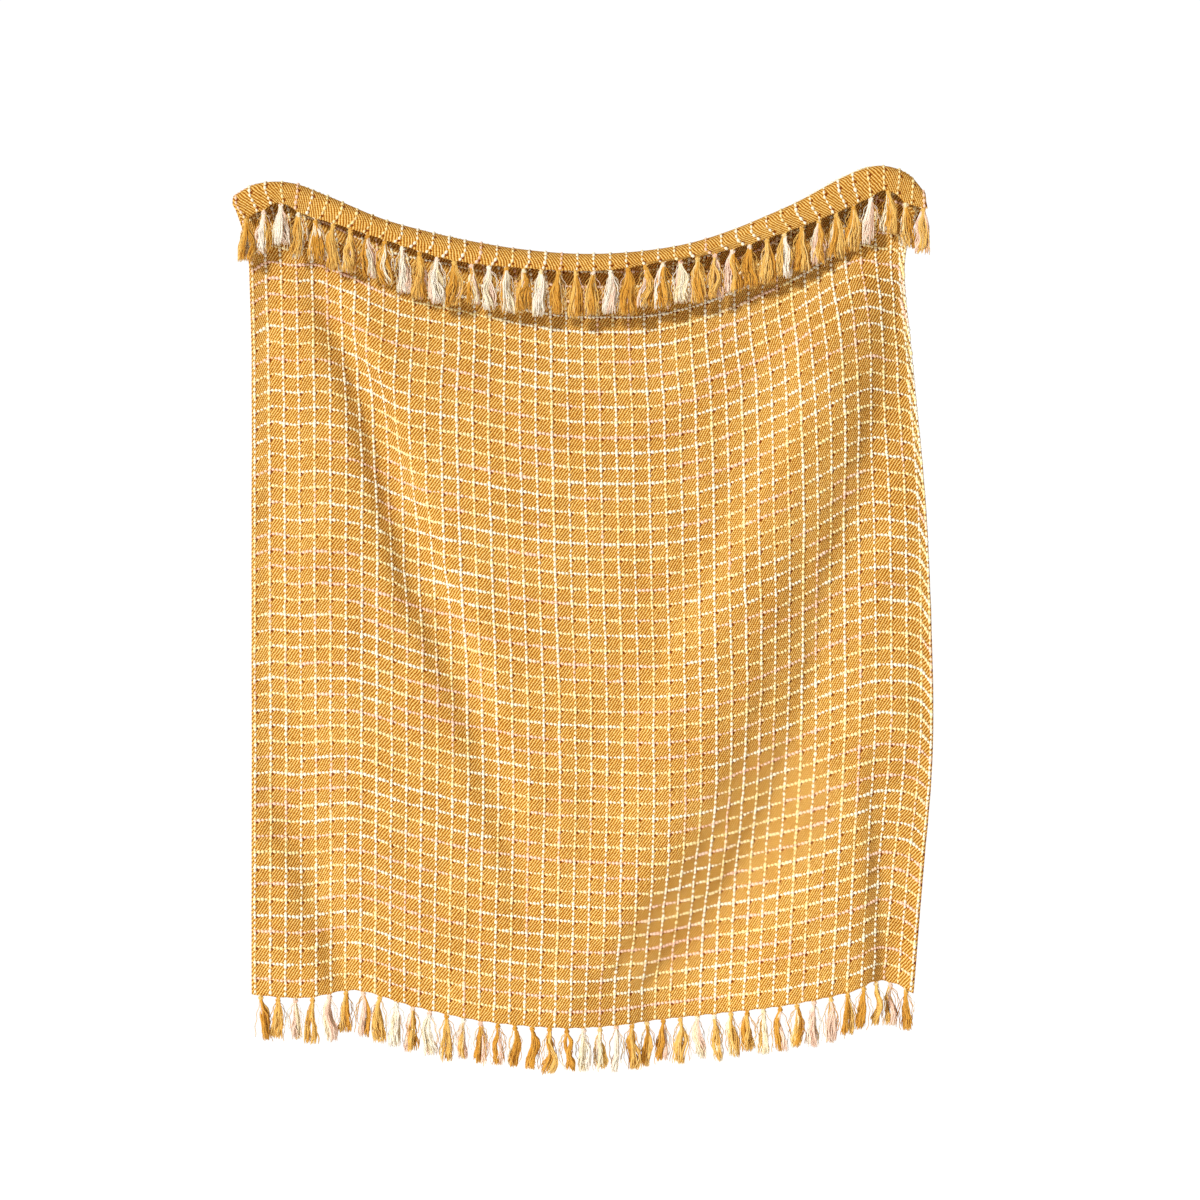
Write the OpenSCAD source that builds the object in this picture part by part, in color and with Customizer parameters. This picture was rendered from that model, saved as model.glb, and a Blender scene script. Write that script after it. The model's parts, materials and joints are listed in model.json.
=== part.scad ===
// Woven throw blanket hanging from two points along its turned-over top,
// with a row of knotted tassels on each cut end.
//
// X runs along the hanging line, +Y points away from the viewer and +Z is up.
// The origin is the left hanging point, against the inside of the fold's crown.

/* [Cloth] */
// Thickness of the woven cloth, slub yarns included
cloth_t = 3; // [2:0.5:4]
// Radius of the soft fold over each hanging point
fold_r_end = 14; // [12:1:18]
// Radius of the soft fold halfway between the hanging points
fold_r_mid = 22; // [18:1:26]
// Height of the strip of cloth behind the fold
back_strip = 60; // [40:5:80]

/* [Drape] */
// Depth of every drape fold, as a share of the modelled one
drape = 1; // [0.6:0.1:1]
// How far the side edges lie behind the hanging line
side_set_back = 25; // [10:5:35]

/* [Tassels] */
// Diameter of the knot at the head of a tassel
knot_d = 9.5; // [8:0.5:11]
// Length of a tassel below the middle of its knot
skirt_l = 76; // [60:2:80]
// Radius of the tassel's frayed lower end
skirt_r = 10; // [8:0.5:10.5]
// Gap between the cloth's edge and the top of a knot
knot_gap = 3; // [2.5:0.5:4]

/* [Colours] */
// Colour of the mustard ground weave
ground_colour = "#CF9A40";
// Colour of the tassels
tassel_colour = "#D9AE62";
// Colour of the pale tassels
pale_colour = "#F1DCB6";

/* [Mesh] */
// Cells across the cloth
cells_x = 66; // [40:2:70]
// Cells down the main panel
cells_z = 44; // [30:2:50]

/* [Hidden] */
// Crown of the fold, as [x, z], from the left end of the throw to the right end
crown_keys = [[-98, -22], [-60, -1], [0, 1.5], [60, -20], [180, -68], [360, -109],
    [530, -123], [700, -103], [860, -43], [980, 19], [1030, 31], [1075, 16], [1104, -16]];
// Cut edge of the turned-over top, as [x, z]
flap_keys = [[-82, -62], [-50, -46], [-17, -32], [24, -52], [89, -72], [183, -103],
    [284, -133], [423, -148], [539, -151], [637, -138], [746, -119], [849, -88],
    [943, -52], [1000, -27], [1038, -10], [1075, -34], [1107, -42]];
// Cut edge at the foot of the main panel, as [x, z]
foot_keys = [[-70, -1413], [20, -1418], [113, -1406], [215, -1434], [339, -1460],
    [501, -1472], [661, -1462], [846, -1437], [980, -1409], [1023, -1392],
    [1063, -1399], [1091, -1416]];
// Side edges of the main panel, as [share of the way down, x]
left_keys = [[0, -98], [0.03, -84], [0.08, -72], [0.5, -70], [1, -70]];
right_keys = [[0, 1104], [0.05, 1076], [0.1, 1070], [0.2, 1084], [0.4, 1110],
    [0.6, 1121], [0.72, 1121], [0.85, 1108], [1, 1091]];

// Each drape fold is a soft step across the cloth:
// [route as [z, x], rise as [z, forward step], half width of the step]
folds = [
    [[[-115, -20], [-463, 0], [-724, 20], [-985, 50], [-1385, 80]],
     [[-100, 36], [-1400, 30]], 55],
    [[[-136, 17], [-271, 66], [-480, 136], [-689, 191], [-898, 278], [-1107, 345], [-1350, 420]],
     [[-100, -36], [-640, -34], [-900, -20], [-1120, -11], [-1400, -6]], 19],
    [[[-167, 78], [-271, 115], [-376, 165], [-550, 222], [-672, 261], [-793, 310], [-967, 365],
     [-1159, 418]],
     [[-100, 46], [-463, 44], [-724, 28], [-967, 14], [-1400, 7]], 20],
    [[[-97, 948], [-271, 880], [-376, 868], [-637, 766], [-915, 640], [-1211, 540]],
     [[-100, 30], [-376, 34], [-637, 28], [-898, 20], [-1107, 12], [-1400, 6]], 38],
    [[[-132, 1008], [-376, 979], [-585, 912], [-724, 864], [-880, 822], [-1020, 774], [-1159, 711],
     [-1263, 638], [-1402, 530]],
     [[-100, -18], [-376, -24], [-724, -36], [-1020, -46], [-1260, -46], [-1400, -36]], 42],
    [[[-132, 1040], [-376, 1009], [-585, 957], [-724, 922], [-880, 887], [-1020, 844], [-1159, 783],
     [-1263, 713], [-1402, 605]],
     [[-100, -22], [-376, -28], [-724, -30], [-1400, -34]], 28],
    [[[-1072, 1009], [-1211, 1018], [-1394, 1024]],
     [[-950, 0], [-1072, -14], [-1211, -26], [-1400, -36]], 16],
    [[[-200, 1075], [-1394, 1068]],
     [[-150, -12], [-1000, -12], [-1400, 8]], 40],
    [[[-985, -60], [-1124, -26], [-1263, 26], [-1402, 70]],
     [[-900, 0], [-1050, -14], [-1200, -26], [-1400, -32]], 24],
    [[[-450, 985], [-724, 950], [-1020, 900], [-1400, 800]],
     [[-350, 0], [-600, 20], [-1020, 46], [-1400, 54]], 70]];
// Distance below the crown where the folds start, and the height over which they grow
fold_start = 90;
fold_growth = 200;

crown_ends = [crown_keys[0][0], crown_keys[len(crown_keys) - 1][0]];
flap_ends = [flap_keys[0][0], flap_keys[len(flap_keys) - 1][0]];
foot_ends = [foot_keys[0][0], foot_keys[len(foot_keys) - 1][0]];
// Distance between the two hanging points along X
hang_span = 1021;

arc_steps = 8;
strip_steps = 3;
flap_steps = 2;
foot_samples = 160;
tassel_fn = 32;

// Tassels on each cut end, and where the top row starts and ends
tassels = 40;
top_row = [-75, 1100];
// Tassels that swing as one with the next to the right, where the edge runs nearly level
top_paired = concat([4], [for (k = [11:2:27]) k]);
foot_paired = concat([for (k = [0:2:18]) k], [23, 25, 27, 32, 34]);
function has(list, v) = len([for (e = list) if (e == v) e]) > 0;
function groups(paired) = [for (k = [0:tassels - 1]) if (!has(paired, k - 1))
    has(paired, k) ? [k, k + 1] : [k]];
top_groups = groups(top_paired);
foot_groups = groups(foot_paired);

cloth_nodes = ["main_panel", "back_strip", "fold_back", "fold_front", "front_flap"];
top_nodes = [for (i = [0:len(top_groups) - 1]) str("top_tassels_", i + 1)];
foot_nodes = [for (i = [0:len(foot_groups) - 1]) str("foot_tassels_", i + 1)];

function clamp01(v) = min(1, max(0, v));
function ease(v) = let (c = clamp01(v)) c * c * (3 - 2 * c);
function mix(a, b, f) = a + (b - a) * f;
function tanh(v) = let (e = exp(2 * max(-9, min(9, v)))) (e - 1) / (e + 1);

// Smooth curve through a short list of [t, value] keys, held flat past both ends
function slope_at(k, i) =
    let (a = max(0, i - 1), b = min(len(k) - 1, i + 1)) (k[b][1] - k[a][1]) / (k[b][0] - k[a][0]);
function span_of(k, t, i = 0) = i >= len(k) - 2 || (k[i + 1][0] - t) * (k[1][0] - k[0][0]) > 0
    ? i : span_of(k, t, i + 1);
function curve(k, t) =
    let (i = span_of(k, t), h = k[i + 1][0] - k[i][0], f = clamp01((t - k[i][0]) / h))
    let (a = k[i][1], b = k[i + 1][1], ma = slope_at(k, i) * h, mb = slope_at(k, i + 1) * h)
    (2 * f * f * f - 3 * f * f + 1) * a + (f * f * f - 2 * f * f + f) * ma
    + (3 * f * f - 2 * f * f * f) * b + (f * f * f - f * f) * mb;

// Radius of the fold: tight over the hanging points, open between them
function fold_r(x) = mix(fold_r_end, fold_r_mid, ease(sin(180 * clamp01(x / hang_span))));
function crown(x) = curve(crown_keys, x);
function across(ends, s) = mix(ends[0], ends[1], s);
function crown_x(s) = across(crown_ends, s);
// The cloth behind the fold hangs in the plane y = back_y
back_y = fold_r_end;

// How far the cloth stands forward of the hanging line
function forward(x, z, drop) = drape * ease((drop - fold_start) / fold_growth)
    * (-side_set_back + steps(x, z));
function steps(x, z, i = 0) = i == len(folds) ? 0
    : curve(folds[i][1], z) * (1 + tanh((x - curve(folds[i][0], z)) / folds[i][2])) / 2
    + steps(x, z, i + 1);

// Points on the middle surface: across share s, down share t
function panel_point(s, t) =
    let (xc = crown_x(s), x = mix(curve(left_keys, t), curve(right_keys, t), s))
    let (z = mix(crown(xc) - fold_r(xc), curve(foot_keys, across(foot_ends, s)), t))
    [x, back_y - forward(x, z, crown(xc) - z), z];
// Share a runs over the crown from the back, 0, to the front, 1
function crown_point(s, a) =
    let (x = crown_x(s), r = fold_r(x))
    [x, back_y - r + r * cos(180 * a), crown(x) - r + r * sin(180 * a)];
function flap_point(s, t) =
    let (xc = crown_x(s), xf = across(flap_ends, s), r = fold_r(xc))
    [mix(xc, xf, t), back_y - 2 * r, mix(crown(xc) - r, curve(flap_keys, xf), t)];

// Closed sheet of the cloth's thickness about a grid of middle points and normals
module sheet(mid, out) {
    n = len(mid) - 1;
    m = len(mid[0]) - 1;
    w = m + 1;
    front = [for (i = [0:n]) for (j = [0:m]) mid[i][j] + out[i][j] * cloth_t / 2];
    back = [for (i = [0:n]) for (j = [0:m]) mid[i][j] - out[i][j] * cloth_t / 2];
    off = (n + 1) * w;
    rim = concat([for (j = [0:m]) j], [for (i = [1:n]) i * w + m],
        [for (j = [m - 1:-1:0]) n * w + j], [for (i = [n - 1:-1:1]) i * w]);
    faces = concat(
        [for (i = [0:n - 1]) for (j = [0:m - 1]) [i * w + j, (i + 1) * w + j, i * w + j + 1]],
        [for (i = [0:n - 1]) for (j = [0:m - 1]) [i * w + j + 1, (i + 1) * w + j, (i + 1) * w + j + 1]],
        [for (i = [0:n - 1]) for (j = [0:m - 1]) [off + i * w + j, off + i * w + j + 1, off + (i + 1) * w + j]],
        [for (i = [0:n - 1]) for (j = [0:m - 1])
            [off + i * w + j + 1, off + (i + 1) * w + j + 1, off + (i + 1) * w + j]],
        [for (k = [0:len(rim) - 1]) let (a = rim[k], b = rim[(k + 1) % len(rim)]) [a, b, off + a]],
        [for (k = [0:len(rim) - 1]) let (a = rim[k], b = rim[(k + 1) % len(rim)]) [b, off + b, off + a]]);
    polyhedron(points = concat(front, back), faces = faces, convexity = 8);
}

// Share of the main panel that the strip behind the fold takes
function strip_share(s) = let (x = crown_x(s))
    back_strip / (crown(x) - fold_r(x) - curve(foot_keys, across(foot_ends, s)));

module main_panel() {
    mid = [for (j = [0:cells_z]) [for (i = [0:cells_x])
        let (s = i / cells_x) panel_point(s, mix(strip_share(s), 1, j / cells_z))]];
    color(ground_colour) sheet(mid, [for (r = mid) [for (p = r) [0, -1, 0]]]);
}

module back_strip() {
    mid = [for (j = [0:strip_steps]) [for (i = [0:cells_x])
        let (s = i / cells_x) panel_point(s, strip_share(s) * j / strip_steps)]];
    color(ground_colour) sheet(mid, [for (r = mid) [for (p = r) [0, -1, 0]]]);
}

// Back half of the fold, from the crown down to the strip behind
module fold_back() {
    mid = [for (j = [0:arc_steps]) [for (i = [0:cells_x])
        crown_point(i / cells_x, (1 - j / arc_steps) / 2)]];
    out = [for (j = [0:arc_steps]) let (a = 90 * (1 - j / arc_steps))
        [for (i = [0:cells_x]) [0, -cos(a), -sin(a)]]];
    color(ground_colour) sheet(mid, out);
}

// Front half of the fold, from the crown down to the flap
module fold_front() {
    mid = [for (j = [0:arc_steps]) [for (i = [0:cells_x])
        crown_point(i / cells_x, (1 + j / arc_steps) / 2)]];
    out = [for (j = [0:arc_steps]) let (a = 90 * (1 + j / arc_steps))
        [for (i = [0:cells_x]) [0, cos(a), sin(a)]]];
    color(ground_colour) sheet(mid, out);
}

module front_flap() {
    mid = [for (j = [0:flap_steps]) [for (i = [0:cells_x]) flap_point(i / cells_x, j / flap_steps)]];
    color(ground_colour) sheet(mid, [for (r = mid) [for (p = r) [0, -1, 0]]]);
}

// One tassel, hanging from the middle of its knot at p
module tassel(p) {
    translate(p) {
        sphere(d = knot_d, $fn = tassel_fn);
        rotate_extrude($fn = tassel_fn) polygon([[0, 0], [knot_d * 0.3, -2], [knot_d * 0.34, -6],
            [skirt_r * 0.62, -skirt_l * 0.25], [skirt_r * 0.85, -skirt_l * 0.6],
            [skirt_r, -skirt_l * 0.92], [skirt_r * 0.8, -skirt_l], [0, -skirt_l]]);
    }
}

// Knots of the top row sit at even steps across the flap
knot_drop = knot_d / 2 + knot_gap;
function top_knot(k) = let (x = across(top_row, k / (tassels - 1)))
    [x, back_y - 2 * fold_r(x), curve(flap_keys, x) - knot_drop];

// Knots of the foot row sit at even lengths along the cloth's foot
foot_line = [for (i = [0:foot_samples]) panel_point(i / foot_samples, 1)];
foot_run = [for (i = 0, run = 0; i <= foot_samples; i = i + 1,
    run = run + (i > foot_samples ? 0 : norm(foot_line[i] - foot_line[i - 1]))) [run, i / foot_samples]];
foot_length = foot_run[foot_samples][0];
function foot_knot(k) = panel_point(lookup((k + 0.5) / tassels * foot_length, foot_run), 1)
    - [0, 0, knot_drop];

module top_tassels(i) {
    color(i % 4 == 2 ? pale_colour : tassel_colour) for (k = top_groups[i]) tassel(top_knot(k));
}
module foot_tassels(i) {
    color(i % 5 == 3 ? pale_colour : tassel_colour) for (k = foot_groups[i]) tassel(foot_knot(k));
}

main_panel();
back_strip();
fold_back();
fold_front();
front_flap();
for (i = [0:len(top_groups) - 1]) top_tassels(i);
for (i = [0:len(foot_groups) - 1]) foot_tassels(i);
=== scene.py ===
import json
import math

import bpy
import numpy as np
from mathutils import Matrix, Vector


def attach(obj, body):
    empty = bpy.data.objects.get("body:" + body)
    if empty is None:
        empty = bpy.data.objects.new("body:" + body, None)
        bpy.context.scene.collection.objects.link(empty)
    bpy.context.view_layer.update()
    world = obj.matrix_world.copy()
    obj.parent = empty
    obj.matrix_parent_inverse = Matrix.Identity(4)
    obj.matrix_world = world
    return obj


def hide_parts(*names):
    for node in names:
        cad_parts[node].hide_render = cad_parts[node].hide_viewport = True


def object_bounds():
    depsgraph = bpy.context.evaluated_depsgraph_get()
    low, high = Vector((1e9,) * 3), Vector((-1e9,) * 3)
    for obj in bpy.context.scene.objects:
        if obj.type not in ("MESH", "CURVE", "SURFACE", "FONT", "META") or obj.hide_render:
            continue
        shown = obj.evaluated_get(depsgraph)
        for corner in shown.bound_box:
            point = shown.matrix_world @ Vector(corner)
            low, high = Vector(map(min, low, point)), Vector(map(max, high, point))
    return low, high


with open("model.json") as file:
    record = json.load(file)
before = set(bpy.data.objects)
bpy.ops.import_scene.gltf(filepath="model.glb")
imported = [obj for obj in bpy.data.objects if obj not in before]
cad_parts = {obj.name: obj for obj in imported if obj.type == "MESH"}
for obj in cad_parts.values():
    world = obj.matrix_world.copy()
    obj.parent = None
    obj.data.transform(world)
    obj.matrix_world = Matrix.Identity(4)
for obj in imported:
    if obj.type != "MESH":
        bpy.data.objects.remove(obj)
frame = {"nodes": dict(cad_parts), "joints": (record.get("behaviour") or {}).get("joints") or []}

# A woven throw blanket that hangs from two points with its top turned over to the front.
# Everything is in metres, in the frame of the CAD model: X runs along the hanging line,
# +Y points away from the viewer and +Z is up. "u" and "v" are places on the flat cloth:
# u from the left selvedge, v from the cut end of the turned-over top down to the foot.

cad_box = [list(corner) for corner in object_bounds()]

# ---- Cloth ----
FLAT_WIDTH = 1.270
FLAT_LENGTH = 1.455
CLOTH_THICK = 0.0026
COLUMNS = 201
ROWS = 238
# The drape is worked out on a finer grid, from this many rows of each stretch of cloth
FINE_COLUMNS = 401
FINE_ROWS = 621
FLAP_ROWS = 31
CROWN_ROWS = 31
PANEL_ROWS = 561
EVENING_PASSES = 3
# Where the rows start to be evened out, down the cloth, and over what length that grows
EVEN_FROM = 0.08
EVEN_GROWTH = 0.12
# Small bumps of the hanging cloth, and where they start and how fast they grow
PUCKER = 0.0008
PUCKER_FROM = 0.16
PUCKER_GROWTH = 0.15
PUCKER_WAVES = 26
PUCKER_LENGTHS = (0.05, 0.16)
# Arches of the cut edges between knots, the droop of the edges, and how far in both reach
SCALLOP = 0.0012
SCALLOP_REACH = 0.008
EDGE_DROP = 0.002
EDGE_REACH = 0.030

# ---- Drape: the CAD model's own keys, apart from HEM_SHIFT ----
FOLD_R_END = 0.014
FOLD_R_MID = 0.022
SIDE_SET_BACK = 0.025
FOLD_START = 0.090
FOLD_GROWTH = 0.200
HANG_SPAN = 1.021
BACK_Y = FOLD_R_END

# Crown of the fold, cut edge of the turned-over top and cut edge at the foot, as [x, z]
CROWN = [[-0.098, -0.022], [-0.060, -0.001], [0, 0.0015], [0.060, -0.020], [0.180, -0.068],
         [0.360, -0.109], [0.530, -0.123], [0.700, -0.103], [0.860, -0.043], [0.980, 0.019],
         [1.030, 0.031], [1.075, 0.016], [1.104, -0.016]]
FLAP = [[-0.082, -0.062], [-0.050, -0.046], [-0.017, -0.032], [0.024, -0.052],
        [0.089, -0.072], [0.183, -0.103], [0.284, -0.133], [0.423, -0.148], [0.539, -0.151],
        [0.637, -0.138], [0.746, -0.119], [0.849, -0.088], [0.943, -0.052], [1.000, -0.027],
        [1.038, -0.010], [1.075, -0.034], [1.107, -0.042]]
FOOT = [[-0.070, -1.413], [0.020, -1.418], [0.113, -1.406], [0.215, -1.434],
        [0.339, -1.460], [0.501, -1.472], [0.661, -1.462], [0.846, -1.437], [0.980, -1.409],
        [1.023, -1.392], [1.063, -1.399], [1.091, -1.416]]
# How far the turned-over top's threads drift sideways, square to the crown, as [x, shift]
HEM_SHIFT = [[-0.098, 0.016], [-0.050, 0.012], [0, 0], [0.060, -0.014], [0.180, -0.014],
             [0.360, -0.008], [0.530, 0], [0.700, 0.008], [0.860, 0.016], [0.950, 0.014],
             [1.030, 0], [1.075, -0.004], [1.104, 0.003]]
# Side edges of the main panel, as [share of the way down, x]
LEFT = [[0, -0.098], [0.03, -0.084], [0.08, -0.072], [0.5, -0.070], [1, -0.070]]
RIGHT = [[0, 1.104], [0.05, 1.076], [0.1, 1.070], [0.2, 1.084], [0.4, 1.110],
         [0.6, 1.121], [0.72, 1.121], [0.85, 1.108], [1, 1.091]]
# Drape folds: route as [z, x], rise as [z, forward step], half width of the step
FOLDS = [
    ([[-0.115, -0.020], [-0.463, 0], [-0.724, 0.020], [-0.985, 0.050], [-1.385, 0.080]],
     [[-0.100, 0.036], [-1.400, 0.030]], 0.055),
    ([[-0.136, 0.017], [-0.271, 0.066], [-0.480, 0.136], [-0.689, 0.191], [-0.898, 0.278],
      [-1.107, 0.345], [-1.350, 0.420]],
     [[-0.100, -0.036], [-0.640, -0.034], [-0.900, -0.020], [-1.120, -0.011], [-1.400, -0.006]], 0.019),
    ([[-0.167, 0.078], [-0.271, 0.115], [-0.376, 0.165], [-0.550, 0.222], [-0.672, 0.261],
      [-0.793, 0.310], [-0.967, 0.365], [-1.159, 0.418]],
     [[-0.100, 0.046], [-0.463, 0.044], [-0.724, 0.028], [-0.967, 0.014], [-1.400, 0.007]], 0.020),
    ([[-0.097, 0.948], [-0.271, 0.880], [-0.376, 0.868], [-0.637, 0.766], [-0.915, 0.640],
      [-1.211, 0.540]],
     [[-0.100, 0.030], [-0.376, 0.034], [-0.637, 0.028], [-0.898, 0.020], [-1.107, 0.012],
      [-1.400, 0.006]], 0.038),
    ([[-0.132, 1.008], [-0.376, 0.979], [-0.585, 0.912], [-0.724, 0.864], [-0.880, 0.822],
      [-1.020, 0.774], [-1.159, 0.711], [-1.263, 0.638], [-1.402, 0.530]],
     [[-0.100, -0.018], [-0.376, -0.024], [-0.724, -0.036], [-1.020, -0.046], [-1.260, -0.046],
      [-1.400, -0.036]], 0.042),
    ([[-0.132, 1.040], [-0.376, 1.009], [-0.585, 0.957], [-0.724, 0.922], [-0.880, 0.887],
      [-1.020, 0.844], [-1.159, 0.783], [-1.263, 0.713], [-1.402, 0.605]],
     [[-0.100, -0.022], [-0.376, -0.028], [-0.724, -0.030], [-1.400, -0.034]], 0.028),
    ([[-1.072, 1.009], [-1.211, 1.018], [-1.394, 1.024]],
     [[-0.950, 0], [-1.072, -0.014], [-1.211, -0.026], [-1.400, -0.036]], 0.016),
    ([[-0.200, 1.075], [-1.394, 1.068]],
     [[-0.150, -0.012], [-1.000, -0.012], [-1.400, 0.008]], 0.040),
    ([[-0.985, -0.060], [-1.124, -0.026], [-1.263, 0.026], [-1.402, 0.070]],
     [[-0.900, 0], [-1.050, -0.014], [-1.200, -0.026], [-1.400, -0.032]], 0.024),
    ([[-0.450, 0.985], [-0.724, 0.950], [-1.020, 0.900], [-1.400, 0.800]],
     [[-0.350, 0], [-0.600, 0.020], [-1.020, 0.046], [-1.400, 0.054]], 0.070)]

# ---- Ground twill ----
# Spacing of the ribs across and down the cloth, and of the threads that cross them
RIB = 0.0052
RIB_RISE = 0.0076
FLOAT_LENGTH = 0.0038
# Painted shadow beside each crossing of check yarns, where the raised yarns shade the ground: its place,
# its size and how dark it is
SHADOW_RIGHT = 0.0037
SHADOW_BELOW = 0.0033
SHADOW_EDGE = 1.78
SHADOW_DEPTH = 4.5

# ---- Check yarns ----
WARPS = 46
WARP_FIRST = 0.005
WARP_PITCH = 0.028
WARP_BEAD = 0.0274 / 3
WARP_R = 0.0025
WARP_THIN = 0.54
WARP_RINGS = 8
WEFTS = 51
WEFT_FIRST = 0.0574
WEFT_PITCH = 0.0274
WEFT_BEAD = 0.007
WEFT_R = 0.0026
WEFT_THIN = 0.64
WEFT_RINGS = 7
YARN_DIP = 0.0013
YARN_SLANT = 0.0005
YARN_END = 0.0008
YARN_GROUPS = 8
YARN_SIDES = 6
# Shares of cream, yellow and pink stretches, and the dye that stands for each
WARP_DYES = (0.62, 0.28, 0.10)
WEFT_DYES = (0.34, 0.34, 0.32)
DYE_SHADES = (0.15, 0.56, 0.90)

# ---- Tassels ----
KNOT_D = 0.0095
SKIRT_L = 0.076
SKIRT_R = 0.010
STRANDS = 84
STRAND_STEPS = 15
STRAND_R = 0.00092
STRAND_REACH = 0.0145
STRAND_SIDES = 4
STRAYS = 5
KNOT_STRAND_R = 0.0016
CORE_STRAND_R = 0.0017
NECK_ENDS = 9
NECK_WIDTH = 0.014
NECK_R = 0.0010
# Dyes of the loose yarn, as places on its colour ramp
MUSTARD, GOLD, CREAM, WHITE, PINK = 0.22, 0.40, 0.62, 0.74, 0.92
# How each row of tassels hangs: its locks of yarn, how they open and move, and the pale ones
TOP_HEM = {"locks": (5, 9), "open": 0.0090, "lean": 0.0030, "sway": 0.0016, "loose": 0.0024,
           "flatten": 0.6, "pale": (2, 9, 11, 14, 15, 17, 21, 25, 36)}
FOOT_HEM = {"locks": (2, 5), "open": 0.0060, "lean": 0.0036, "sway": 0.0028, "loose": 0.0018,
            "flatten": 0.9, "pale": (2, 4, 8, 10, 12, 19, 26, 33)}

# ---- Stage ----
VIEW_X = 0.539
VIEW_Z = -0.724
VIEW_FAR = 6.0
VIEW_WIDTH = 2.088
FLOOR_DROP = 0.90
FLOOR_HALF = 7.0
SUN_AZIMUTH = 40
SUN_ELEVATION = 22
SUN_STRENGTH = 3.30
SUN_SPREAD = 8
SUN_COLOUR = (0.99, 1.0, 0.98)


# ---------------------------------------------------------------- drape functions
def curve(keys, t):
    """Smooth curve through a short list of [t, value] keys, held flat past both ends."""
    k = np.array(keys, float)
    t = np.asarray(t, float)
    x, y = k[:, 0], k[:, 1]
    if x[1] < x[0]:
        x, t = -x, -t
    n = len(x)
    a = np.maximum(np.arange(n) - 1, 0)
    b = np.minimum(np.arange(n) + 1, n - 1)
    slope = (y[b] - y[a]) / (x[b] - x[a])
    i = np.clip(np.searchsorted(x, t, side="right") - 1, 0, n - 2)
    h = x[i + 1] - x[i]
    f = np.clip((t - x[i]) / h, 0, 1)
    start = (2 * f**3 - 3 * f**2 + 1) * y[i] + (f**3 - 2 * f**2 + f) * slope[i] * h
    return start + (3 * f**2 - 2 * f**3) * y[i + 1] + (f**3 - f**2) * slope[i + 1] * h


def ease(v):
    c = np.clip(v, 0, 1)
    return c * c * (3 - 2 * c)


def mix(a, b, f):
    return a + (b - a) * f


def across(keys, s):
    return mix(keys[0][0], keys[-1][0], s)


def fold_r(x):
    return mix(FOLD_R_END, FOLD_R_MID, ease(np.sin(np.pi * np.clip(x / HANG_SPAN, 0, 1))))


def forward(x, z, drop):
    """How far the cloth stands forward of the hanging line."""
    steps = sum(curve(rise, z) * (1 + np.tanh((x - curve(route, z)) / half)) / 2
                for route, rise, half in FOLDS)
    return ease((drop - FOLD_START) / FOLD_GROWTH) * (steps - SIDE_SET_BACK)


def panel_points(s, t):
    xc = across(CROWN, s)
    x = mix(curve(LEFT, t), curve(RIGHT, t), s)
    z = mix(curve(CROWN, xc) - fold_r(xc), curve(FOOT, across(FOOT, s)), t)
    return np.stack([x, BACK_Y - forward(x, z, curve(CROWN, xc) - z), z], -1)


def crown_points(s, a):
    """Over the fold, from the back, a = 0, to the front, a = 1."""
    x = across(CROWN, s) + 0 * a
    r = fold_r(x)
    turn = np.pi * a
    return np.stack([x, BACK_Y - r + r * np.cos(turn), curve(CROWN, x) - r + r * np.sin(turn)], -1)


def flap_points(s, t):
    """The turned-over top, from the fold, t = 0, to its cut end, t = 1."""
    xc = across(CROWN, s)
    xf = xc + curve(HEM_SHIFT, xc)
    z = mix(curve(CROWN, xc) - fold_r(xc), curve(FLAP, xf), t)
    return np.stack([mix(xc, xf, t), BACK_Y - 2 * fold_r(xc) + 0 * t, z], -1)


def even_steps(grid, count):
    """The same grid with its columns cut into even lengths of cloth."""
    runs = np.linalg.norm(np.diff(grid, axis=0), axis=2)
    runs = np.concatenate([np.zeros((1, grid.shape[1])), np.cumsum(runs, axis=0)])
    out = np.empty((count, grid.shape[1], 3))
    for j in range(grid.shape[1]):
        places = np.linspace(0, runs[-1, j], count)
        for c in range(3):
            out[:, j, c] = np.interp(places, runs[:, j], grid[:, j, c])
    return out


def waves(u, v, seed, count, shortest, longest):
    """Smooth noise of about unit size, from a few crossing waves."""
    rng = np.random.default_rng(seed)
    total = np.zeros(np.broadcast(u, v).shape)
    for _ in range(count):
        length = rng.uniform(shortest, longest)
        turn = rng.uniform(0, 2 * math.pi)
        phase = rng.uniform(0, 2 * math.pi)
        total += np.sin(2 * np.pi * (u * math.cos(turn) + v * math.sin(turn)) / length + phase)
    return total * math.sqrt(2 / count)


def normals_of(grid):
    """Unit normals, on the side of the cloth that faces out over the fold."""
    n = np.cross(np.gradient(grid, axis=1), np.gradient(grid, axis=0))
    return n / np.linalg.norm(n, axis=2, keepdims=True)


def scallops(u, knots):
    """How far the cut edge arches up between knots, as a share: 0 at a knot, 1 midway."""
    gap = np.min(np.abs(u[:, None] - knots[None, :]), axis=1)
    half = (knots[1] - knots[0]) / 2
    return np.clip(gap / half, 0, 1) ** 1.5


def crown_shares(count):
    """Shares across that cut the crown into even lengths."""
    s = np.linspace(0, 1, 2 * count)
    run = np.cumsum(np.linalg.norm(np.diff(crown_points(s, 0.5), axis=0), axis=1))
    run = np.concatenate([[0], run])
    return np.interp(np.linspace(0, run[-1], count), run, s)


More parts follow.
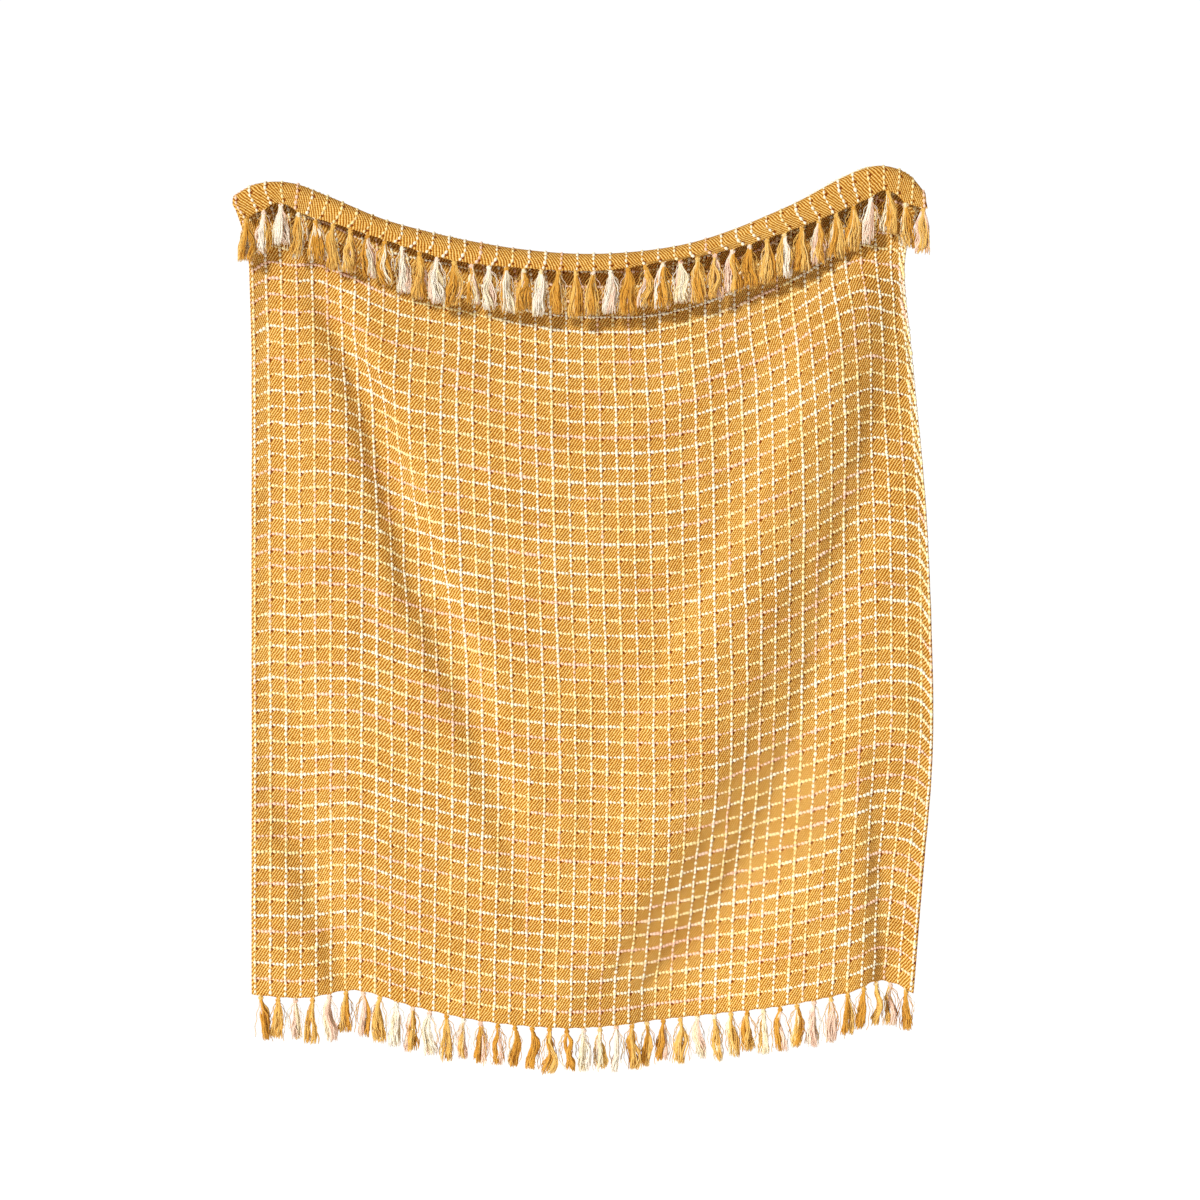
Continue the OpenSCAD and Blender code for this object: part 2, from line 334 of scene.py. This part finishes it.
def cloth_grid(top_knots, foot_knots):
    """Middle surface of the cloth, at even steps of u and v."""
    s = crown_shares(FINE_COLUMNS)[None, :]
    flap = flap_points(s, np.linspace(1, 0, FLAP_ROWS)[:, None])
    crown = crown_points(s, np.linspace(1, 0, CROWN_ROWS)[1:, None])
    panel = panel_points(s, np.linspace(0, 1, PANEL_ROWS)[1:, None])
    grid = np.concatenate([flap, crown, panel])
    depths = np.linspace(0, 1, FINE_ROWS) * FLAT_LENGTH
    below = ease((depths - EVEN_FROM) / EVEN_GROWTH)[:, None, None]
    for _ in range(EVENING_PASSES):
        grid = even_steps(grid, FINE_ROWS)
        grid = mix(grid, even_steps(grid.swapaxes(0, 1), FINE_COLUMNS).swapaxes(0, 1), below)
    return finish_grid(even_steps(grid, ROWS)[:, ::FINE_COLUMNS // (COLUMNS - 1)], top_knots, foot_knots)


def finish_grid(grid, top_knots, foot_knots):
    """The grid with its small bumps, and with its cut edges drooping and arched between knots."""
    u = np.linspace(0, FLAT_WIDTH, COLUMNS)
    v = np.linspace(0, FLAT_LENGTH, ROWS)
    grown = ease((v - PUCKER_FROM) / PUCKER_GROWTH)[:, None]
    bumps = waves(u[None, :], v[:, None], 11, PUCKER_WAVES, *PUCKER_LENGTHS)
    grid = grid + normals_of(grid) * (PUCKER * grown * bumps)[..., None]
    for row, knots, depth in ((0, top_knots, v), (-1, foot_knots, FLAT_LENGTH - v)):
        knots_u = np.interp(knots[:, 0], grid[row, :, 0], u)
        arch = SCALLOP * scallops(u, knots_u)[None, :] * np.exp(-depth / SCALLOP_REACH)[:, None]
        grid[..., 2] += arch - EDGE_DROP * np.exp(-depth / EDGE_REACH)[:, None]
    return grid


# ---------------------------------------------------------------- mesh helpers
def new_mesh(name, points, quads, attributes, material, body):
    """A smooth mesh object from points and quads that rides on a body."""
    mesh = bpy.data.meshes.new(name)
    quads = np.asarray(quads, np.int32)
    mesh.vertices.add(len(points))
    mesh.vertices.foreach_set("co", np.asarray(points, np.float32).ravel())
    mesh.loops.add(quads.size)
    mesh.loops.foreach_set("vertex_index", quads.ravel())
    mesh.polygons.add(len(quads))
    mesh.polygons.foreach_set("loop_start", np.arange(0, quads.size, 4, dtype=np.int32))
    mesh.polygons.foreach_set("use_smooth", np.ones(len(quads), bool))
    mesh.update(calc_edges=True)
    for key, values in attributes.items():
        made = mesh.attributes.new(key, "FLOAT_VECTOR", "POINT")
        made.data.foreach_set("vector", np.asarray(values, np.float32).ravel())
    mesh.materials.append(material)
    obj = bpy.data.objects.new(name, mesh)
    bpy.context.scene.collection.objects.link(obj)
    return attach(obj, body)


def grid_quads(rows, columns, start=0, closed=False):
    """Quads of a grid of points; closed joins the last column to the first."""
    i = np.arange(rows - 1)[:, None]
    j = np.arange(columns if closed else columns - 1)[None, :]
    k = (j + 1) % columns
    a, b = i * columns + j, i * columns + k
    c, d = (i + 1) * columns + k, (i + 1) * columns + j
    return start + np.stack([a, b, c, d], -1).reshape(-1, 4)


def tubes(paths, radii, sides, up=None):
    """Points, quads and places (share along, share around) of many closed tubes.
    paths is (tubes, rings, 3), radii (tubes, rings) and up a direction for each ring."""
    count, rings = paths.shape[:2]
    along = np.gradient(paths, axis=1)
    along /= np.linalg.norm(along, axis=2, keepdims=True)
    if up is None:
        up = np.broadcast_to(np.array([0.13, 0.97, 0.2]), paths.shape)
    side = np.cross(along, up)
    side /= np.linalg.norm(side, axis=2, keepdims=True)
    up = np.cross(side, along)
    turn = np.linspace(0, 2 * np.pi, sides, endpoint=False)
    ring = (up[:, :, None, :] * np.cos(turn)[:, None] + side[:, :, None, :] * np.sin(turn)[:, None])
    points = paths[:, :, None, :] + ring * radii[:, :, None, None]
    body = grid_quads(rings, sides, closed=True)
    cap = [[0, n, n + 1, n + 2] for n in range(1, sides - 2, 2)]
    head = np.array(cap)[:, ::-1]
    tail = np.array(cap) + (rings - 1) * sides
    one = np.concatenate([body, head, tail])[:, ::-1]
    quads = (one[None] + (np.arange(count) * rings * sides)[:, None, None]).reshape(-1, 4)
    share = np.broadcast_to(np.linspace(0, 1, rings)[None, :, None], points.shape[:3])
    round_ = np.broadcast_to(turn / (2 * np.pi), points.shape[:3])
    return points.reshape(-1, 3), quads, share, round_


# ---------------------------------------------------------------- materials
class Nodes:
    """Short calls that add shader nodes to one material."""

    def __init__(self, name):
        self.material = bpy.data.materials.new(name)
        self.material.use_nodes = True
        self.tree = self.material.node_tree
        self.shader = self.tree.nodes["Principled BSDF"]

    def link(self, a, b):
        """Feed an output, or a plain value, to an input."""
        if isinstance(a, (int, float, tuple)):
            b.default_value = a
        else:
            self.tree.links.new(a, b)

    def attribute(self, name):
        node = self.tree.nodes.new("ShaderNodeAttribute")
        node.attribute_name = name
        return node.outputs["Vector"]

    def split(self, vector):
        node = self.tree.nodes.new("ShaderNodeSeparateXYZ")
        self.link(vector, node.inputs[0])
        return node.outputs[0], node.outputs[1], node.outputs[2]

    def join(self, x, y, z=0.0):
        node = self.tree.nodes.new("ShaderNodeCombineXYZ")
        for value, socket in zip((x, y, z), node.inputs):
            self.link(value, socket)
        return node.outputs[0]

    def math(self, operation, a, b=0.0, c=0.0):
        node = self.tree.nodes.new("ShaderNodeMath")
        node.operation = operation
        for value, socket in zip((a, b, c), node.inputs):
            self.link(value, socket)
        return node.outputs[0]

    def wave(self, place, period):
        """Smooth wave from 0 to 1 along a place in metres."""
        turned = self.math("MULTIPLY", place, 2 * math.pi / period)
        return self.math("MULTIPLY_ADD", self.math("SINE", turned), 0.5, 0.5)

    def wave_peak(self, place, period):
        """Cosine wave, from -1 to 1, with its peak at place 0."""
        return self.math("COSINE", self.math("MULTIPLY", place, 2 * math.pi / period))

    def noise(self, vector, scale, detail=2.0, roughness=0.5):
        node = self.tree.nodes.new("ShaderNodeTexNoise")
        self.link(vector, node.inputs["Vector"])
        node.inputs["Scale"].default_value = scale
        node.inputs["Detail"].default_value = detail
        node.inputs["Roughness"].default_value = roughness
        return node.outputs["Fac"]

    def ramp(self, value, stops):
        node = self.tree.nodes.new("ShaderNodeValToRGB")
        self.link(value, node.inputs[0])
        elements = node.color_ramp.elements
        while len(elements) < len(stops):
            elements.new(0.5)
        for element, (place, colour) in zip(elements, stops):
            element.position = place
            element.color = (*colour, 1)
        return node.outputs[0]

    def bump(self, height, distance, strength=1.0):
        node = self.tree.nodes.new("ShaderNodeBump")
        node.inputs["Distance"].default_value = distance
        node.inputs["Strength"].default_value = strength
        self.link(height, node.inputs["Height"])
        self.link(node.outputs[0], self.shader.inputs["Normal"])

    def finish(self, colour, roughness, specular, sheen, sheen_tint):
        self.link(colour, self.shader.inputs["Base Color"])
        self.link(roughness, self.shader.inputs["Roughness"])
        self.shader.inputs["Specular IOR Level"].default_value = specular
        self.shader.inputs["Sheen Weight"].default_value = sheen
        self.shader.inputs["Sheen Roughness"].default_value = 0.5
        self.shader.inputs["Sheen Tint"].default_value = (*sheen_tint, 1)
        return self.material


def crossing_painted_shadows(n, u, v):
    """Painted shadows: small dark spots just below and to the right of each crossing of two check yarns,
    where the raised yarns would shade the ground.
    """
    over = n.math("SUBTRACT", u, WARP_FIRST + SHADOW_RIGHT)
    down = n.math("SUBTRACT", v, WEFT_FIRST + SHADOW_BELOW)
    both = n.math("ADD", n.wave_peak(over, WARP_PITCH), n.wave_peak(down, WEFT_PITCH))
    return n.math("MULTIPLY", n.math("MAXIMUM", n.math("SUBTRACT", both, SHADOW_EDGE), 0.0), SHADOW_DEPTH)


def ground_weave():
    """Mustard 2/2 twill: diagonal ribs painted lighter on their crests and darker in their grooves, a
    painted highlight and shade, over threads of mixed gold, ochre and rust tones.
    """
    n = Nodes("mustard_twill")
    u, v, _ = n.split(n.attribute("flat"))
    diagonal = n.math("ADD", n.math("MULTIPLY", u, 1 / RIB), n.math("MULTIPLY", v, 1 / RIB_RISE))
    jitter = n.noise(n.attribute("flat"), 90.0, 2.0)
    rib = n.wave(n.math("ADD", diagonal, n.math("MULTIPLY", jitter, 0.8)), 1.0)
    floats = n.wave(n.math("SUBTRACT", v, n.math("MULTIPLY", u, 0.35)), FLOAT_LENGTH)
    height = n.math("ADD", n.math("MULTIPLY", rib, 0.78), n.math("MULTIPLY", floats, 0.22))
    threads = n.noise(n.join(u, n.math("MULTIPLY", v, 1.8)), 170.0, 3.0, 0.65)
    patches = n.noise(n.attribute("flat"), 9.0, 3.0)
    # Colour partly from the ribs' height: painted highlight on the crests and painted shade in the
    # grooves, mixed with the threads' own random tones
    tone = n.math("ADD", n.math("MULTIPLY", height, 0.72), n.math("MULTIPLY", threads, 0.80))
    tone = n.math("ADD", tone, n.math("MULTIPLY_ADD", patches, 0.20, -0.36))
    # Painted shadow: darken the ground in spots beside the crossings of check yarns
    tone = n.math("SUBTRACT", tone, crossing_painted_shadows(n, u, v))
    # Ramp from deep brown (painted shade in the grooves and beside crossings) through mustard to light
    # gold (painted highlight on rib crests and the palest threads)
    colour = n.ramp(tone, [(0.10, (0.21, 0.045, 0.001)), (0.36, (0.49, 0.18, 0.008)),
                           (0.56, (0.68, 0.36, 0.055)), (0.84, (0.95, 0.69, 0.25))])
    n.bump(n.math("ADD", height, n.math("MULTIPLY", threads, 0.5)), 0.0012, 1.0)
    return n.finish(colour, 0.75, 0.12, 0.08, (1.0, 0.80, 0.45))


def check_yarn():
    """Space-dyed slub yarn: cream, pale yellow and pale pink in stretches."""
    n = Nodes("space_dyed_slub")
    along, around, dye = n.split(n.attribute("yarn"))
    fuzz = n.noise(n.join(along, n.math("MULTIPLY", around, 0.01)), 420.0, 3.0)
    shade = n.math("ADD", dye, n.math("MULTIPLY_ADD", fuzz, 0.16, -0.08))
    colour = n.ramp(shade, [(0.0, (0.97, 0.93, 0.78)), (0.34, (0.97, 0.91, 0.70)),
                            (0.50, (0.97, 0.82, 0.42)), (0.64, (0.97, 0.82, 0.46)),
                            (0.80, (0.97, 0.72, 0.56)), (1.0, (0.96, 0.62, 0.46))])
    twist = n.wave(n.math("ADD", along, n.math("MULTIPLY", around, 0.0022)), 0.0011)
    n.bump(n.math("ADD", twist, fuzz), 0.0004, 0.7)
    return n.finish(colour, 0.8, 0.15, 0.15, (1.0, 0.95, 0.85))


def tassel_yarn():
    """Loose cotton strands: mustard, cream or pale pink."""
    n = Nodes("loose_cotton")
    along, around, dye = n.split(n.attribute("yarn"))
    streak = n.noise(n.join(n.math("MULTIPLY", along, 0.4), around, dye), 60.0, 3.0)
    shade = n.math("ADD", dye, n.math("MULTIPLY_ADD", streak, 0.14, -0.07))
    colour = n.ramp(shade, [(0.0, (0.48, 0.19, 0.015)), (0.22, (0.72, 0.36, 0.045)),
                            (0.45, (0.88, 0.58, 0.17)), (0.58, (0.95, 0.83, 0.56)),
                            (0.74, (0.96, 0.92, 0.82)), (0.88, (0.94, 0.74, 0.60)),
                            (1.0, (0.92, 0.62, 0.46))])
    twist = n.wave(n.math("ADD", along, n.math("MULTIPLY", around, 0.0018)), 0.0009)
    n.bump(n.math("ADD", twist, streak), 0.0003, 0.6)
    return n.finish(colour, 0.8, 0.1, 0.12, (1.0, 0.93, 0.8))


# ---------------------------------------------------------------- cloth
def at(grid, u, v):
    """Points of a grid at places u, v on the flat cloth."""
    column = np.clip(u / FLAT_WIDTH, 0, 1) * (COLUMNS - 1)
    row = np.clip(v / FLAT_LENGTH, 0, 1) * (ROWS - 1)
    j = np.minimum(column.astype(int), COLUMNS - 2)
    i = np.minimum(row.astype(int), ROWS - 2)
    fj, fi = (column - j)[..., None], (row - i)[..., None]
    low = mix(grid[i, j], grid[i, j + 1], fj)
    return mix(low, mix(grid[i + 1, j], grid[i + 1, j + 1], fj), fi)


def build_cloth(grid, normals, material):
    """One closed sheet: an outer and an inner layer joined by a rounded rim."""
    half = CLOTH_THICK / 2
    size = ROWS * COLUMNS
    u, v = np.meshgrid(np.linspace(0, FLAT_WIDTH, COLUMNS), np.linspace(0, FLAT_LENGTH, ROWS))
    flat = np.stack([u, v, 0 * u], -1).reshape(-1, 3)
    outer = (grid + normals * half).reshape(-1, 3)
    inner = (grid - normals * half).reshape(-1, 3)
    index = np.arange(size).reshape(ROWS, COLUMNS)
    rim = np.concatenate([index[0], index[1:, -1], index[-1, -2::-1], index[-2:0:-1, 0]])
    inward = np.gradient(grid, axis=0) * np.sign(ROWS / 2 - np.arange(ROWS))[:, None, None]
    sideways = np.gradient(grid, axis=1) * np.sign(COLUMNS / 2 - np.arange(COLUMNS))[None, :, None]
    inward[1:-1] = 0
    sideways[:, 1:-1] = 0
    out = -(inward + sideways).reshape(-1, 3)[rim]
    out /= np.linalg.norm(out, axis=1, keepdims=True)
    edge = grid.reshape(-1, 3)[rim] + out * half
    points = np.concatenate([outer, inner, edge])
    layer = grid_quads(ROWS, COLUMNS)
    k = np.arange(len(rim))
    after = np.roll(k, -1)
    front = np.stack([rim[k], rim[after], 2 * size + after, 2 * size + k], -1)
    back = np.stack([2 * size + k, 2 * size + after, size + rim[after], size + rim[k]], -1)
    quads = np.concatenate([layer[:, ::-1], layer + size, front, back])
    flats = np.concatenate([flat, flat, flat[rim]])
    return new_mesh("woven_cloth", points, quads, {"flat": flats}, material, "throw")


def dye_along(count, places, seed, shares):
    """Dye of each line at its places: stretches of cream, yellow or pink, with soft joins."""
    rng = np.random.default_rng(seed)
    out = np.empty((count, len(places)))
    for line in range(count):
        ends, values, end = [], [], -rng.uniform(0, 0.1)
        while end < places[-1]:
            step = rng.uniform(0.04, 0.16)
            end += step
            ends.append(end)
            values.append(rng.choice(DYE_SHADES, p=shares) + rng.uniform(-0.05, 0.05))
        out[line] = np.interp(places, np.array(ends) - 0.02, values)
    return out


def lay_yarns(kind, grid, normals, material, seed):
    """Check yarns of one direction, in groups of neighbouring lines."""
    warp = kind == "warp"
    count, bead, rings = (WARPS, WARP_BEAD, WARP_RINGS) if warp else (WEFTS, WEFT_BEAD, WEFT_RINGS)
    radius, thin = (WARP_R, WARP_THIN) if warp else (WEFT_R, WEFT_THIN)
    length, crossing = (FLAT_LENGTH, WEFT_FIRST) if warp else (FLAT_WIDTH, WARP_FIRST)
    first, pitch = (WARP_FIRST, WARP_PITCH) if warp else (WEFT_FIRST, WEFT_PITCH)
    places = np.arange(YARN_END, length - YARN_END, bead / rings)
    dye = dye_along(count, places, seed, WARP_DYES if warp else WEFT_DYES)
    rng = np.random.default_rng(seed + 1)
    lines = first + pitch * np.arange(count)
    beat = np.cos(2 * np.pi * (places - crossing) / bead) * (1 if warp else -1)
    swell = thin + (1 - thin) * np.abs(beat) ** 0.8
    pieces = []
    for part, chosen in enumerate(np.array_split(np.arange(count), YARN_GROUPS)):
        wander = 0.0004 * waves(lines[chosen][:, None] * 9, places[None, :], seed + 2, 8, 0.02, 0.09)
        slant = 0 if warp else YARN_SLANT * np.sin(2 * np.pi * (places - crossing) / bead)
        cross = lines[chosen][:, None] + wander + slant
        run = np.broadcast_to(places, cross.shape)
        u, v = (cross, run) if warp else (run, cross)
        mid, up = at(grid, u, v), at(normals, u, v)
        up /= np.linalg.norm(up, axis=2, keepdims=True)
        lump = 1 + 0.18 * waves(lines[chosen][:, None] * 7, run, seed + 3, 10, 0.006, 0.03)
        lump *= rng.uniform(0.92, 1.10, (len(chosen), 1))
        paths = mid + up * (YARN_DIP * beat)[None, :, None]
        points, quads, _, around = tubes(paths, radius * swell * np.clip(lump, 0.6, 1.4),
                                         YARN_SIDES, up)
        place = np.broadcast_to(run[:, :, None], around.shape)
        tone = np.broadcast_to(dye[chosen][:, :, None], around.shape)
        yarn = np.stack([place, around, tone], -1)
        pieces.append(new_mesh(f"check_{kind}_{part + 1}", points, quads, {"yarn": yarn},
                               material, "throw"))
    return pieces


# ---------------------------------------------------------------- tassels
def knots_of(joint):
    """Middles of the knots of one tassel or two, read from their CAD solids."""
    mesh = frame["nodes"][joint["child"]].data
    co = np.array([v.co for v in mesh.vertices])
    split = (co[:, 0].min() + co[:, 0].max()) / 2
    single = np.ptp(co[:, 0]) < 3 * SKIRT_R
    knots = []
    for half in [co] if single else [co[co[:, 0] < split], co[co[:, 0] > split]]:
        low, high = half.min(0), half.max(0)
        knots.append([(low[0] + high[0]) / 2, (low[1] + high[1]) / 2, high[2] - KNOT_D / 2])
    return np.array(knots)


def clump_tints(rng, count, pale):
    """Dye of each clump of a tassel: mostly mustard, or mostly pale."""
    shares = (0.04, 0.06, 0.34, 0.36, 0.20) if pale else (0.40, 0.38, 0.08, 0.05, 0.09)
    return rng.choice([MUSTARD, GOLD, CREAM, WHITE, PINK], size=count, p=shares)


def skirt_strands(rng, pale, hem):
    """Paths, radii and dyes of one tassel's strands, with the knot's middle at 0, 0, 0."""
    t = np.linspace(0, 1, STRAND_STEPS)
    locks = rng.integers(*hem["locks"])
    tints = clump_tints(rng, locks, pale)
    turn = rng.uniform(0, 2 * math.pi) + 2 * math.pi * np.arange(locks) / locks
    of = rng.choice(locks, STRANDS, p=rng.dirichlet(np.full(locks, 2.5)))
    open_ = hem["open"] * rng.uniform(0.7, 1.25)
    spread = 0.16 + 0.84 * ease((t + 0.05) / 0.85)
    strands = np.zeros((STRANDS, STRAND_STEPS, 3))
    for axis, trig in ((0, np.cos), (1, np.sin)):
        lean, sway = rng.normal(0, hem["lean"]), rng.normal(0, hem["sway"])
        place = open_ * trig(turn[of])[:, None] * spread + lean * t**1.3
        place = place + sway * np.sin(np.pi * t * 1.5)
        bend = rng.normal(0, 0.0022, locks)[of][:, None]
        phase = rng.uniform(0, 6.28, locks)[of][:, None]
        place = place + bend * np.sin(2 * np.pi * t * 1.1 + phase) * ease(t / 0.3)
        own = rng.normal(0, hem["loose"], STRANDS)[:, None] * (0.35 + 0.65 * ease(t / 0.5))
        fray = rng.normal(0, 0.0026, STRANDS)[:, None] * ease((t - 0.6) / 0.4)
        turns, start = rng.uniform(1.5, 4.5, STRANDS)[:, None], rng.uniform(0, 6.28, STRANDS)[:, None]
        curl = rng.uniform(0.0001, 0.0011, STRANDS)[:, None] * np.sin(2 * np.pi * t * turns + start)
        strands[..., axis] = place + own + fray + curl * ease(t / 0.25)
    strands[..., 1] *= hem["flatten"]
    reach = np.hypot(strands[..., 0], strands[..., 1])
    strands[..., :2] *= np.minimum(1, STRAND_REACH / np.maximum(reach, 1e-6))[..., None]
    drop = SKIRT_L * rng.uniform(0.88, 1.04) * rng.uniform(0.82, 1.0, STRANDS)
    strands[..., 2] = -drop[:, None] * t - 0.001
    radii = STRAND_R * rng.uniform(0.7, 1.4, STRANDS)[:, None] * np.clip((1.04 - t) * 8, 0.3, 1)
    dyes = tints[of] + rng.normal(0, 0.05, STRANDS)
    return strands, radii, dyes


def stray_strands(rng, pale, hem):
    """A few thin curling threads that stand out of the tassel."""
    t = np.linspace(0, 1, STRAND_STEPS)
    strands = np.zeros((STRAYS, STRAND_STEPS, 3))
    side = rng.choice([-1, 1], STRAYS)[:, None]
    reach = rng.uniform(0.009, 0.016, STRAYS)[:, None]
    strands[..., 0] = side * reach * np.sin(np.pi * t * rng.uniform(0.5, 0.95, STRAYS)[:, None])
    strands[..., 0] += 0.0012 * np.sin(2 * np.pi * t * 3 + rng.uniform(0, 6.28, STRAYS)[:, None])
    strands[..., 1] = hem["flatten"] * rng.normal(0, 0.003, STRAYS)[:, None] * t
    strands[..., 2] = -0.001 - SKIRT_L * rng.uniform(0.5, 1.0, STRAYS)[:, None] * t**1.15
    radii = np.full((STRAYS, STRAND_STEPS), STRAND_R * 0.6)
    return strands, radii, clump_tints(rng, STRAYS, pale)


def knot_loops(rng, tint):
    """An overhand knot: two strands that follow a three-lobed knot's path."""
    t = np.linspace(0, 2 * math.pi, 4 * STRAND_STEPS)
    loops = []
    for shift in (-0.35, 0.35):
        a = t + shift
        loop = np.stack([np.sin(a) + 2 * np.sin(2 * a), -np.sin(3 * a) * 1.1,
                         np.cos(a) - 2 * np.cos(2 * a)], -1)
        loops.append(loop * (KNOT_D / 2 - 0.0011) / 3)
    turned = rng.uniform(0, 2 * math.pi)
    spin = np.array([[math.cos(turned), 0, math.sin(turned)], [0, 1, 0],
                     [-math.sin(turned), 0, math.cos(turned)]])
    return np.array(loops) @ spin, np.full((2, len(t)), KNOT_STRAND_R), np.array([tint, tint + 0.03])


def knot_core(rng, tint):
    """The knot's filling: short thick strands side by side."""
    t = np.linspace(-1, 1, 7)
    turn = 2 * math.pi * np.arange(5) / 5 + rng.uniform(0, 6)
    out = 0.0017 * np.sqrt(np.clip(1.15 - t**2, 0, 1))
    core = np.stack([np.cos(turn)[:, None] * out, np.sin(turn)[:, None] * out,
                     np.broadcast_to(-t * 0.0042, (5, 7))], -1)
    return core, np.full((5, 7), CORE_STRAND_R), np.full(5, tint)


def build_tassels(joint, first, material, hem, seed):
    """One tassel or two as one piece, on the body that carries them; first counts the knots."""
    rng = np.random.default_rng(seed)
    points, quads, yarns, start = [], [], [], 0
    for place, knot in enumerate(knots_of(joint)):
        pale = first + place in hem["pale"]
        parts = [skirt_strands(rng, pale, hem), stray_strands(rng, pale, hem)]
        tint = float(parts[0][2][0])
        parts += [knot_loops(rng, tint), knot_core(rng, tint)]
        for paths, radii, dyes in parts:
            p, q, share, around = tubes(paths + knot, radii, STRAND_SIDES)
            run = share * SKIRT_L
            tone = np.broadcast_to(np.asarray(dyes)[:, None, None], around.shape)
            points.append(p)
            quads.append(q + start)
            yarns.append(np.stack([run, around, tone], -1).reshape(-1, 3))
            start += len(p)
    name = joint["child"].replace("tassels", "fringe")
    obj = new_mesh(name, np.concatenate(points), np.concatenate(quads),
                   {"yarn": np.concatenate(yarns)}, material, joint["child"])
    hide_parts(joint["child"])
    return obj


def build_necks(name, edge, knots, material, seed):
    """The warp ends that run from the cut edge into each knot."""
    rng = np.random.default_rng(seed)
    t = np.linspace(0, 1, 6)
    x = edge[:, 0]
    paths, radii, dyes = [], [], []
    for knot in knots:
        for k in range(NECK_ENDS):
            spread = ((k + 0.5) / NECK_ENDS - 0.5) * NECK_WIDTH + rng.normal(0, 0.0008)
            start = np.array([np.interp(knot[0] + spread, x, edge[:, c]) for c in range(3)])
            start[2] += 0.0015
            stop = knot + np.array([spread * 0.12, rng.normal(0, 0.0012), 0.0015])
            path = mix(start, stop, t[:, None])
            path[:, 0] = mix(start[0], stop[0], ease(t * 1.1))
            paths.append(path)
            radii.append(np.full(len(t), NECK_R))
            dyes.append(rng.choice([MUSTARD, GOLD, CREAM], p=[0.5, 0.35, 0.15]))
    points, quads, share, around = tubes(np.array(paths), np.array(radii), STRAND_SIDES)
    tone = np.broadcast_to(np.array(dyes)[:, None, None], around.shape)
    yarn = np.stack([share * 0.01, around, tone], -1)
    obj = new_mesh(name, points, quads, {"yarn": yarn}, material, "throw")
    return obj


# ---------------------------------------------------------------- stage
def add_camera():
    camera = bpy.data.cameras.new("camera")
    camera.sensor_width = 36
    camera.lens = 36 * VIEW_FAR / VIEW_WIDTH
    camera.clip_end = 100
    obj = bpy.data.objects.new("camera", camera)
    bpy.context.scene.collection.objects.link(obj)
    obj.location = (VIEW_X, -VIEW_FAR, VIEW_Z)
    obj.rotation_euler = (math.pi / 2, 0, 0)
    bpy.context.scene.camera = obj


def add_sun():
    """Soft light from far away; azimuth 0 shines along +Y, and 90 along +X."""
    light = bpy.data.lights.new("key", "SUN")
    light.energy = SUN_STRENGTH
    light.angle = math.radians(SUN_SPREAD)
    light.color = SUN_COLOUR
    obj = bpy.data.objects.new("key", light)
    bpy.context.scene.collection.objects.link(obj)
    obj.rotation_euler = (math.radians(90 - SUN_ELEVATION), 0, math.radians(-SUN_AZIMUTH))
    obj.location = (0, 0, 4)


def add_world():
    """White all round, which lights the throw less than it shows."""
    world = bpy.data.worlds.new("studio")
    bpy.context.scene.world = world
    world.use_nodes = True
    tree = world.node_tree
    seen = tree.nodes["Background"]
    seen.inputs["Color"].default_value = (1, 1, 1, 1)
    seen.inputs["Strength"].default_value = 1.05
    lit = tree.nodes.new("ShaderNodeBackground")
    lit.inputs["Color"].default_value = (1.0, 0.74, 0.52, 1)
    lit.inputs["Strength"].default_value = 0.30
    path = tree.nodes.new("ShaderNodeLightPath")
    both = tree.nodes.new("ShaderNodeMixShader")
    tree.links.new(path.outputs["Is Camera Ray"], both.inputs[0])
    tree.links.new(lit.outputs[0], both.inputs[1])
    tree.links.new(seen.outputs[0], both.inputs[2])
    tree.links.new(both.outputs[0], tree.nodes["World Output"].inputs[0])


def add_floor(z):
    """A pale floor that glows a little, so that it shows as white as the air round it."""
    n = Nodes("pale_floor")
    grain = n.noise(n.tree.nodes.new("ShaderNodeTexCoord").outputs["Object"], 3.0, 2.0)
    colour = n.ramp(grain, [(0.3, (0.90, 0.90, 0.89)), (0.7, (0.93, 0.93, 0.92))])
    n.shader.inputs["Emission Color"].default_value = (1, 1, 1, 1)
    n.shader.inputs["Emission Strength"].default_value = 0.60
    material = n.finish(colour, 0.9, 0.1, 0.0, (1, 1, 1))
    mesh = bpy.data.meshes.new("floor")
    signs = [(-1, -1), (1, -1), (1, 1), (-1, 1)]
    corners = [(x * FLOOR_HALF, y * FLOOR_HALF, 0) for x, y in signs]
    mesh.from_pydata(corners, [], [(0, 1, 2, 3)])
    mesh.materials.append(material)
    obj = bpy.data.objects.new("floor", mesh)
    bpy.context.scene.collection.objects.link(obj)
    obj.location = (VIEW_X, 0, z)


# ---------------------------------------------------------------- the throw
add_camera()
add_world()
add_sun()
add_floor(cad_box[0][2] - FLOOR_DROP)
bpy.context.scene.view_settings.view_transform = "Standard"

top_joints = [j for j in frame["joints"] if j["name"].startswith("top")]
foot_joints = [j for j in frame["joints"] if j["name"].startswith("foot")]
top_knots = np.concatenate([knots_of(j) for j in top_joints])
foot_knots = np.concatenate([knots_of(j) for j in foot_joints])

middle = cloth_grid(top_knots, foot_knots)
outward = normals_of(middle)
yarn_material = check_yarn()
strand_material = tassel_yarn()

cloth = build_cloth(middle, outward, ground_weave())
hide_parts(*[name for name in frame["nodes"] if "tassels" not in name])
yarns = lay_yarns("warp", middle, outward, yarn_material, 101)
yarns += lay_yarns("weft", middle, outward, yarn_material, 202)

for joints, hem, seed in ((top_joints, TOP_HEM, 300), (foot_joints, FOOT_HEM, 400)):
    first = 0
    for i, joint in enumerate(joints):
        build_tassels(joint, first, strand_material, hem, seed + i)
        first += len(knots_of(joint))
build_necks("top_necks", middle[0], top_knots, strand_material, 500)
build_necks("foot_necks", middle[-1], foot_knots, strand_material, 600)
